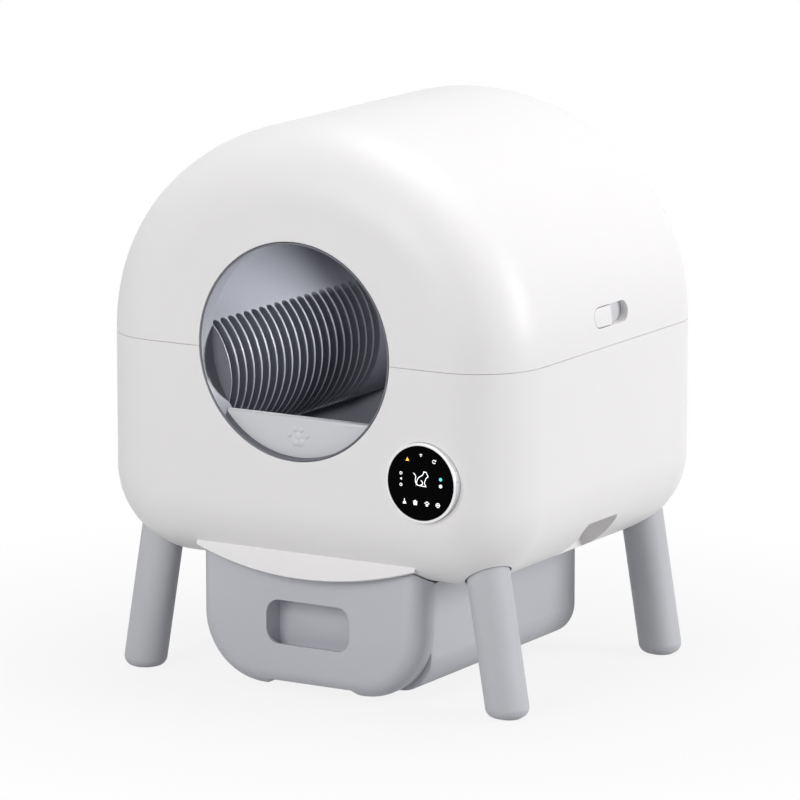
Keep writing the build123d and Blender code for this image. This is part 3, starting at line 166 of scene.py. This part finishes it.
CAT_BODY = [
    (-5.6, -3.6), (4.6, -4.2), (6.0, -4.4), (5.2, -3.0), (3.9, -1.6), (3.9, 0.6), (5.3, 3.4), (5.8, 5.2),
    (8.3, 6.2), (8.0, 7.9), (6.4, 9.7), (5.9, 11.9), (4.4, 10.8), (2.9, 12.2), (2.6, 9.2), (1.2, 7.4),
    (-1.6, 5.9), (-3.8, 4.2), (-5.2, 1.6), (-5.6, -1.2),
]
CAT_TAIL = [(-5.6, -3.6), (-7.0, -1.0), (-7.3, 2.6), (-6.6, 5.6), (-7.6, 7.6), (-9.6, 8.9)]
CAT_THIGH = [(-1.4, -3.4), (1.4, -2.6), (1.9, 0.4), (-0.6, 2.0)]
CAT_LINE = 0.9
CAT_FLATNESS = 0.25
CAT_SHIFT = Vector((0.0005, 0, 0.0012))
STROKE_ORDER = 3
STROKE_ROUNDING = 2
STROKE_STEPS = 4

# Floor, backdrop and lamps
FLOOR_R = 14
FLOOR_CORNERS = 64
FLOOR_PAINT = (0.56, 0.56, 0.56)
FADE_NEAR = 0.25
FADE_FAR = 0.85
FADE_NEAR_SHARE = 0.86
FILL_COLOUR = (0.99, 0.985, 1.0)
FILL_LEVEL = 0.08
FILL_OVERHEAD = 0.50
LAMPS = [
    dict(name="key_right", place=(3.6, 1.3, 1.4), target=(0, 0, 0.34), width=1.8, power=94),
    dict(name="top", place=(0.0, 0.5, 3.8), target=(0, 0, 0.4), width=2.2, power=53),
    dict(name="front_left", place=(-0.4, -3.7, 1.8), target=(0, 0, 0.34), width=2.0, power=75),
    dict(name="drum_inside", place=(0.15, 0.08, 0.45), target=(-0.14, -0.20, 0.47), width=0.06, power=0.98,
         spread=80),
    dict(name="drum_rear", place=(0.13, 0.02, 0.46), target=(-0.03, 0.10, 0.20), width=0.08, power=0.36,
         spread=130),
]


def photo_camera():
    turn, rise = radians(CAMERA_TURN), radians(CAMERA_RISE)
    right = Vector((cos(turn), sin(turn), 0))
    up = Vector((-sin(turn) * sin(rise), cos(turn) * sin(rise), cos(rise)))
    back = Vector((sin(turn) * cos(rise), -cos(turn) * cos(rise), sin(rise)))
    lens = bpy.data.cameras.new("photo_camera")
    lens.sensor_width = CAMERA_SENSOR_MM
    lens.lens = CAMERA_LENS_MM
    lens.clip_start, lens.clip_end = CAMERA_CLIP
    camera = bpy.data.objects.new("photo_camera", lens)
    turned = Matrix((right, up, back)).transposed().to_4x4()
    place = CAMERA_TARGET + back * CAMERA_DISTANCE - right * CAMERA_LEFT - up * CAMERA_DOWN
    camera.matrix_world = Matrix.Translation(place) @ turned
    bpy.context.scene.collection.objects.link(camera)
    bpy.context.scene.camera = camera


# Materials. Every pattern reads Object coordinates, in metres.

def node_finish(name):
    finish = bpy.data.materials.new(name)
    finish.use_nodes = True
    tree = finish.node_tree
    shader = tree.nodes["Principled BSDF"]
    place = tree.nodes.new("ShaderNodeTexCoord")
    return finish, tree, shader, place.outputs["Object"]


def noise(tree, place, scale, detail=2.0, rough=0.5):
    node = tree.nodes.new("ShaderNodeTexNoise")
    node.inputs["Scale"].default_value = scale
    node.inputs["Detail"].default_value = detail
    node.inputs["Roughness"].default_value = rough
    tree.links.new(place, node.inputs["Vector"])
    return node.outputs["Fac"]


def between(tree, factor, low, high):
    """Spreads the middle of a noise over the range from low to high."""
    node = tree.nodes.new("ShaderNodeMapRange")
    node.inputs["From Min"].default_value = NOISE_LOW
    node.inputs["From Max"].default_value = NOISE_HIGH
    node.inputs["To Min"].default_value = low
    node.inputs["To Max"].default_value = high
    tree.links.new(factor, node.inputs["Value"])
    return node.outputs["Result"]


def two_tones(tree, factor, dark, light):
    node = tree.nodes.new("ShaderNodeMix")
    node.data_type = "RGBA"
    node.inputs["A"].default_value = (*dark, 1)
    node.inputs["B"].default_value = (*light, 1)
    tree.links.new(factor, node.inputs["Factor"])
    return node.outputs["Result"]


def relief(tree, shader, height, strength, distance):
    node = tree.nodes.new("ShaderNodeBump")
    node.inputs["Strength"].default_value = strength
    node.inputs["Distance"].default_value = distance
    tree.links.new(height, node.inputs["Height"])
    tree.links.new(node.outputs["Normal"], shader.inputs["Normal"])


def moulded_plastic(name, dark, light, rough, grain, depth, specular=0.5):
    """Moulded plastic: a spark-eroded grain, cloudy gloss and a slight drift of the colour."""
    finish, tree, shader, place = node_finish(name)
    drift = noise(tree, place, scale=7.0, detail=3.0)
    tree.links.new(two_tones(tree, drift, dark, light), shader.inputs["Base Color"])
    cloud = noise(tree, place, scale=38.0, detail=4.0, rough=0.6)
    gloss = between(tree, cloud, rough - PLASTIC_GLOSS_DRIFT, rough + PLASTIC_GLOSS_DRIFT)
    tree.links.new(gloss, shader.inputs["Roughness"])
    relief(tree, shader, noise(tree, place, grain, detail=3.0, rough=0.6), strength=0.35, distance=depth)
    shader.inputs["Specular IOR Level"].default_value = specular
    return finish


def brushed_metal(name, dark, light, rough, stretch):
    """Metal with a fine brushed grain along one way."""
    finish, tree, shader, place = node_finish(name)
    scaled = tree.nodes.new("ShaderNodeMapping")
    scaled.inputs["Scale"].default_value = stretch
    tree.links.new(place, scaled.inputs["Vector"])
    grain = noise(tree, scaled.outputs["Vector"], scale=60.0, detail=4.0, rough=0.6)
    tree.links.new(two_tones(tree, grain, dark, light), shader.inputs["Base Color"])
    gloss = between(tree, grain, rough - METAL_GLOSS_DRIFT, rough + METAL_GLOSS_DRIFT)
    tree.links.new(gloss, shader.inputs["Roughness"])
    relief(tree, shader, grain, strength=0.15, distance=0.00004)
    shader.inputs["Metallic"].default_value = 1.0
    return finish


def soft_rubber(name, dark, light):
    """Matt rubber with a coarse grain and pale bloom."""
    finish, tree, shader, place = node_finish(name)
    bloom = noise(tree, place, scale=24.0, detail=5.0, rough=0.65)
    tree.links.new(two_tones(tree, bloom, dark, light), shader.inputs["Base Color"])
    tree.links.new(between(tree, bloom, low=0.68, high=0.86), shader.inputs["Roughness"])
    relief(tree, shader, noise(tree, place, scale=900.0), strength=0.5, distance=0.0001)
    shader.inputs["Specular IOR Level"].default_value = 0.35
    return finish


def display_glass_finish():
    """Black display glass: deep gloss with a faint haze of wiping."""
    finish, tree, shader, place = node_finish("display_black_glass")
    haze = noise(tree, place, scale=45.0, detail=5.0, rough=0.6)
    tree.links.new(two_tones(tree, haze, GLASS_DARK, GLASS_LIGHT), shader.inputs["Base Color"])
    tree.links.new(between(tree, haze, low=0.05, high=0.11), shader.inputs["Roughness"])
    shader.inputs["IOR"].default_value = GLASS_IOR
    shader.inputs["Specular IOR Level"].default_value = GLASS_SPECULAR
    return finish


def lit_icon(name, colour, strength):
    """A lit sign on the display glass, with an uneven glow."""
    finish, tree, shader, place = node_finish(name)
    glow = noise(tree, place, scale=400.0)
    dim = tuple(ICON_DIM_SHARE * c for c in colour)
    tree.links.new(two_tones(tree, glow, dim, colour), shader.inputs["Emission Color"])
    shader.inputs["Base Color"].default_value = (*colour, 1)
    shader.inputs["Emission Strength"].default_value = strength
    shader.inputs["Roughness"].default_value = 0.3
    return finish


def circuit_board():
    """Green solder mask with faint tracks."""
    finish, tree, shader, place = node_finish("circuit_board_green")
    tracks = tree.nodes.new("ShaderNodeTexWave")
    tracks.inputs["Scale"].default_value = TRACK_SCALE
    tracks.inputs["Distortion"].default_value = TRACK_WANDER
    tree.links.new(place, tracks.inputs["Vector"])
    tones = two_tones(tree, tracks.outputs["Fac"], BOARD_DARK, BOARD_LIGHT)
    tree.links.new(tones, shader.inputs["Base Color"])
    relief(tree, shader, tracks.outputs["Fac"], strength=0.2, distance=0.0001)
    shader.inputs["Roughness"].default_value = 0.35
    return finish


def slot_finishes():
    """One finish for each material slot of the record."""
    finishes = {slot: moulded_plastic(**values) for slot, values in PLASTICS.items()}
    finishes.update({slot: soft_rubber(**values) for slot, values in RUBBERS.items()})
    finishes.update({slot: brushed_metal(**values) for slot, values in METALS.items()})
    finishes["display_black"] = display_glass_finish()
    finishes["board_green"] = circuit_board()
    return finishes


def dress_nodes(finishes):
    """Every carried-over node gets the finish of its slot, and the latch slides a paler grey."""
    for part in frame["record"]["subparts"]:
        mesh = nodes[part["node"]].data
        mesh.materials.clear()
        mesh.materials.append(finishes[part["material_slot"]])
    for side in ("left", "right"):
        nodes[f"latch_slide_{side}"].data.materials[0] = finishes["threshold_grey"]


def soften_edges(name, width, segments):
    """Moulded pieces have no knife edges: a small live bevel rounds those of a node."""
    joined = nodes[name].modifiers.new("joined_corners", "WELD")
    joined.merge_threshold = WELD_DISTANCE
    edge = nodes[name].modifiers.new("moulded_edges", "BEVEL")
    edge.width = width
    edge.segments = segments
    edge.limit_method = "ANGLE"
    edge.angle_limit = radians(SHARP_ANGLE)
    edge.harden_normals = True


# Display signs: flat shapes in the XZ plane, given a small height and put on the glass.

def add_polygon(bm, points):
    corners = [bm.verts.new((x / MM_PER_M, 0, z / MM_PER_M)) for x, z in points]
    bm.faces.new(corners)


def add_disc(bm, place, radius, corners=DISC_CORNERS):
    x, z = place
    upright = Matrix.Translation((x / MM_PER_M, 0, z / MM_PER_M)) @ Matrix.Rotation(radians(90), 4, "X")
    bmesh.ops.create_circle(bm, cap_ends=True, segments=corners, radius=radius / MM_PER_M, matrix=upright)


def add_ring(bm, place, radius, width, start=0.0, sweep=360.0):
    """A ring or part of one, spun from a short edge."""
    x, z = place
    centre = Vector((x / MM_PER_M, 0, z / MM_PER_M))
    near = Vector(((radius - width / 2) / MM_PER_M, 0, 0))
    far = Vector(((radius + width / 2) / MM_PER_M, 0, 0))
    turned = Matrix.Rotation(radians(-start), 3, "Y")
    ends = [bm.verts.new(turned @ v + centre) for v in (near, far)]
    edge = bm.edges.new(ends)
    steps = max(RING_LEAST_STEPS, int(sweep / RING_STEP))
    full = sweep >= 360.0
    bmesh.ops.spin(bm, geom=[*ends, edge], cent=centre, axis=(0, -1, 0), angle=radians(sweep),
                   steps=steps, use_merge=full, use_duplicate=False)


def raise_icon(bm, name, finish):
    """Gives the flat shapes their height and puts them on the display glass."""
    bmesh.ops.remove_doubles(bm, verts=bm.verts, dist=ICON_WELD)
    flat = list(bm.faces)
    grown = bmesh.ops.extrude_face_region(bm, geom=flat)
    moved = [v for v in grown["geom"] if isinstance(v, bmesh.types.BMVert)]
    bmesh.ops.translate(bm, verts=moved, vec=(0, -ICON_HEIGHT, 0))
    bmesh.ops.recalc_face_normals(bm, faces=bm.faces)
    bmesh.ops.translate(bm, verts=bm.verts, vec=DISPLAY_CENTRE)
    add_piece(bm, name, finish, smooth=False)


def add_piece(bm, name, finish, smooth):
    """Turns the mesh into a piece that rides on the housing."""
    mesh = bpy.data.meshes.new(name)
    for face in bm.faces:
        face.smooth = smooth
    bm.to_mesh(mesh)
    bm.free()
    mesh.materials.append(finish)
    piece = bpy.data.objects.new(name, mesh)
    bpy.context.scene.collection.objects.link(piece)
    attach(piece, "housing")


def warning_icon(finish):
    bm = bmesh.new()
    add_polygon(bm, WARNING_SIGN)
    raise_icon(bm, "icon_warning", finish)


def signal_icon(finish):
    bm = bmesh.new()
    add_disc(bm, SIGNAL_PLACE, SIGNAL_DOT_R, DOT_CORNERS)
    for radius in SIGNAL_RINGS:
        add_ring(bm, SIGNAL_PLACE, radius, SIGNAL_LINE, SIGNAL_START, SIGNAL_SWEEP)
    raise_icon(bm, "icon_signal", finish)


def again_icon(finish):
    bm = bmesh.new()
    add_ring(bm, AGAIN_PLACE, AGAIN_R, AGAIN_LINE, AGAIN_START, AGAIN_SWEEP)
    add_polygon(bm, AGAIN_HEAD)
    raise_icon(bm, "icon_again", finish)


def level_icons(finish):
    bm = bmesh.new()
    add_ring(bm, LEVEL_HIGH_PLACE, LEVEL_R, LEVEL_LINE)
    add_polygon(bm, LEVEL_ARROW)
    add_ring(bm, LEVEL_LOW_PLACE, LEVEL_R, LEVEL_LINE)
    raise_icon(bm, "icon_levels", finish)


def state_lamp(name, z, finish):
    bm = bmesh.new()
    add_disc(bm, (LAMP_SIGN_X, z), LAMP_SIGN_R)
    raise_icon(bm, name, finish)


def task_icons(finish):
    """The row along the bottom: a scoop, a bin, a paw and a globe."""
    bm = bmesh.new()
    for points in SCOOP_AND_BIN:
        add_polygon(bm, points)
    add_disc(bm, PAW_PAD_PLACE, PAW_PAD_R)
    for place in PAW_TOES:
        add_disc(bm, place, PAW_TOE_R, DOT_CORNERS)
    add_ring(bm, GLOBE_PLACE, GLOBE_R, GLOBE_LINE)
    for points in GLOBE_CROSS:
        add_polygon(bm, points)
    raise_icon(bm, "icon_tasks", finish)


def outline_stroke(name, points, closed, width):
    """A rounded stroke along smooth points, as a mesh."""
    line = bpy.data.curves.new(name, "CURVE")
    line.dimensions = "3D"
    line.bevel_depth = width / (2 * MM_PER_M)
    line.bevel_resolution = STROKE_ROUNDING
    line.resolution_u = STROKE_STEPS
    spline = line.splines.new("NURBS")
    spline.points.add(len(points) - 1)
    for point, (x, z) in zip(spline.points, points):
        point.co = (x / MM_PER_M, 0, z / MM_PER_M, 1)
    spline.order_u = STROKE_ORDER
    spline.use_cyclic_u = closed
    spline.use_endpoint_u = not closed
    holder = bpy.data.objects.new(name, line)
    bpy.context.scene.collection.objects.link(holder)
    bpy.context.view_layer.update()
    mesh = bpy.data.meshes.new_from_object(holder.evaluated_get(bpy.context.evaluated_depsgraph_get()))
    bpy.data.objects.remove(holder)
    return mesh


def cat_icon(finish):
    """A sitting cat drawn as one line, with its tail and thigh, flattened onto the glass."""
    bm = bmesh.new()
    bm.from_mesh(outline_stroke("cat_body", CAT_BODY, True, CAT_LINE))
    bm.from_mesh(outline_stroke("cat_tail", CAT_TAIL, False, CAT_LINE))
    bm.from_mesh(outline_stroke("cat_thigh", CAT_THIGH, False, CAT_LINE))
    bmesh.ops.scale(bm, verts=bm.verts, vec=(1, CAT_FLATNESS, 1))
    bmesh.ops.recalc_face_normals(bm, faces=bm.faces)
    bmesh.ops.translate(bm, verts=bm.verts, vec=DISPLAY_CENTRE + CAT_SHIFT)
    add_piece(bm, "icon_cat", finish, smooth=True)


def make_display_icons():
    white = lit_icon(**WHITE_GLOW)
    warning_icon(lit_icon(**AMBER_GLOW))
    signal_icon(white)
    again_icon(white)
    level_icons(white)
    state_lamp("icon_lamp_ready", READY_Z, lit_icon(**CYAN_GLOW))
    state_lamp("icon_lamp_lock", LOCK_Z, white)
    task_icons(white)
    cat_icon(white)


# The floor, the backdrop and the lamps.

def pale_floor():
    bm = bmesh.new()
    bmesh.ops.create_circle(bm, cap_ends=True, segments=FLOOR_CORNERS, radius=FLOOR_R)
    mesh = bpy.data.meshes.new("studio_floor")
    bm.to_mesh(mesh)
    bm.free()
    mesh.materials.append(floor_finish())
    floor = bpy.data.objects.new("studio_floor", mesh)
    bpy.context.scene.collection.objects.link(floor)


def floor_finish():
    """Pale paint that keeps the soft shadow near the object and fades to the white backdrop."""
    finish = bpy.data.materials.new("studio_floor")
    finish.use_nodes = True
    tree = finish.node_tree
    tree.nodes.clear()
    out = tree.nodes.new("ShaderNodeOutputMaterial")
    paint = tree.nodes.new("ShaderNodeBsdfDiffuse")
    paint.inputs["Color"].default_value = (*FLOOR_PAINT, 1)
    white = tree.nodes.new("ShaderNodeEmission")
    seen = seen_by_camera(tree)
    place = tree.nodes.new("ShaderNodeTexCoord")
    away = tree.nodes.new("ShaderNodeVectorMath")
    away.operation = "LENGTH"
    tree.links.new(place.outputs["Object"], away.inputs[0])
    fade = tree.nodes.new("ShaderNodeMapRange")
    fade.interpolation_type = "SMOOTHSTEP"
    fade.inputs["From Min"].default_value = FADE_NEAR
    fade.inputs["From Max"].default_value = FADE_FAR
    fade.inputs["To Min"].default_value = FADE_NEAR_SHARE
    tree.links.new(away.outputs["Value"], fade.inputs["Value"])
    share = tree.nodes.new("ShaderNodeMath")
    share.operation = "MULTIPLY"
    tree.links.new(seen, share.inputs[0])
    tree.links.new(fade.outputs["Result"], share.inputs[1])
    mix = tree.nodes.new("ShaderNodeMixShader")
    tree.links.new(share.outputs["Value"], mix.inputs["Fac"])
    tree.links.new(paint.outputs["BSDF"], mix.inputs[1])
    tree.links.new(white.outputs["Emission"], mix.inputs[2])
    tree.links.new(mix.outputs["Shader"], out.inputs["Surface"])
    return finish


def seen_by_camera(tree):
    """1 for camera, glossy and transmission rays, so that gloss shows the white backdrop too."""
    path = tree.nodes.new("ShaderNodeLightPath")
    either = tree.nodes.new("ShaderNodeMath")
    either.operation = "MAXIMUM"
    tree.links.new(path.outputs["Is Camera Ray"], either.inputs[0])
    tree.links.new(path.outputs["Is Glossy Ray"], either.inputs[1])
    any_ray = tree.nodes.new("ShaderNodeMath")
    any_ray.operation = "MAXIMUM"
    tree.links.new(either.outputs["Value"], any_ray.inputs[0])
    tree.links.new(path.outputs["Is Transmission Ray"], any_ray.inputs[1])
    return any_ray.outputs["Value"]


def white_world():
    """A white backdrop, and a soft fill on the object that grows from the horizon upwards."""
    world = bpy.data.worlds.new("studio_world")
    world.use_nodes = True
    tree = world.node_tree
    tree.nodes.clear()
    out = tree.nodes.new("ShaderNodeOutputWorld")
    shown = tree.nodes.new("ShaderNodeBackground")
    shown.inputs["Color"].default_value = (1, 1, 1, 1)
    fill = tree.nodes.new("ShaderNodeBackground")
    fill.inputs["Color"].default_value = (*FILL_COLOUR, 1)
    way = tree.nodes.new("ShaderNodeTexCoord")
    parts = tree.nodes.new("ShaderNodeSeparateXYZ")
    tree.links.new(way.outputs["Generated"], parts.inputs["Vector"])
    height = tree.nodes.new("ShaderNodeMapRange")
    height.inputs["To Min"].default_value = FILL_LEVEL
    height.inputs["To Max"].default_value = FILL_OVERHEAD
    tree.links.new(parts.outputs["Z"], height.inputs["Value"])
    tree.links.new(height.outputs["Result"], fill.inputs["Strength"])
    mix = tree.nodes.new("ShaderNodeMixShader")
    tree.links.new(seen_by_camera(tree), mix.inputs["Fac"])
    tree.links.new(fill.outputs["Background"], mix.inputs[1])
    tree.links.new(shown.outputs["Background"], mix.inputs[2])
    tree.links.new(mix.outputs["Shader"], out.inputs["Surface"])
    bpy.context.scene.world = world


def soft_lamp(name, place, target, width, power, spread=180):
    """A square lamp aimed at target; a spread below 180 narrows its light."""
    light = bpy.data.lights.new(name, "AREA")
    light.shape = "RECTANGLE"
    light.size, light.size_y = width, width
    light.energy = power
    light.spread = radians(spread)
    lamp = bpy.data.objects.new(name, light)
    lamp.location = place
    lamp.rotation_mode = "QUATERNION"
    lamp.rotation_quaternion = (Vector(target) - Vector(place)).to_track_quat("-Z", "Y")
    lamp.visible_camera = False
    bpy.context.scene.collection.objects.link(lamp)


def studio():
    pale_floor()
    white_world()
    for values in LAMPS:
        soft_lamp(**values)
    bpy.context.scene.view_settings.view_transform = "Standard"


photo_camera()
studio()
dress_nodes(slot_finishes())
for node_name, (edge_width, edge_segments) in SOFT_EDGES.items():
    soften_edges(node_name, edge_width, edge_segments)
make_display_icons()
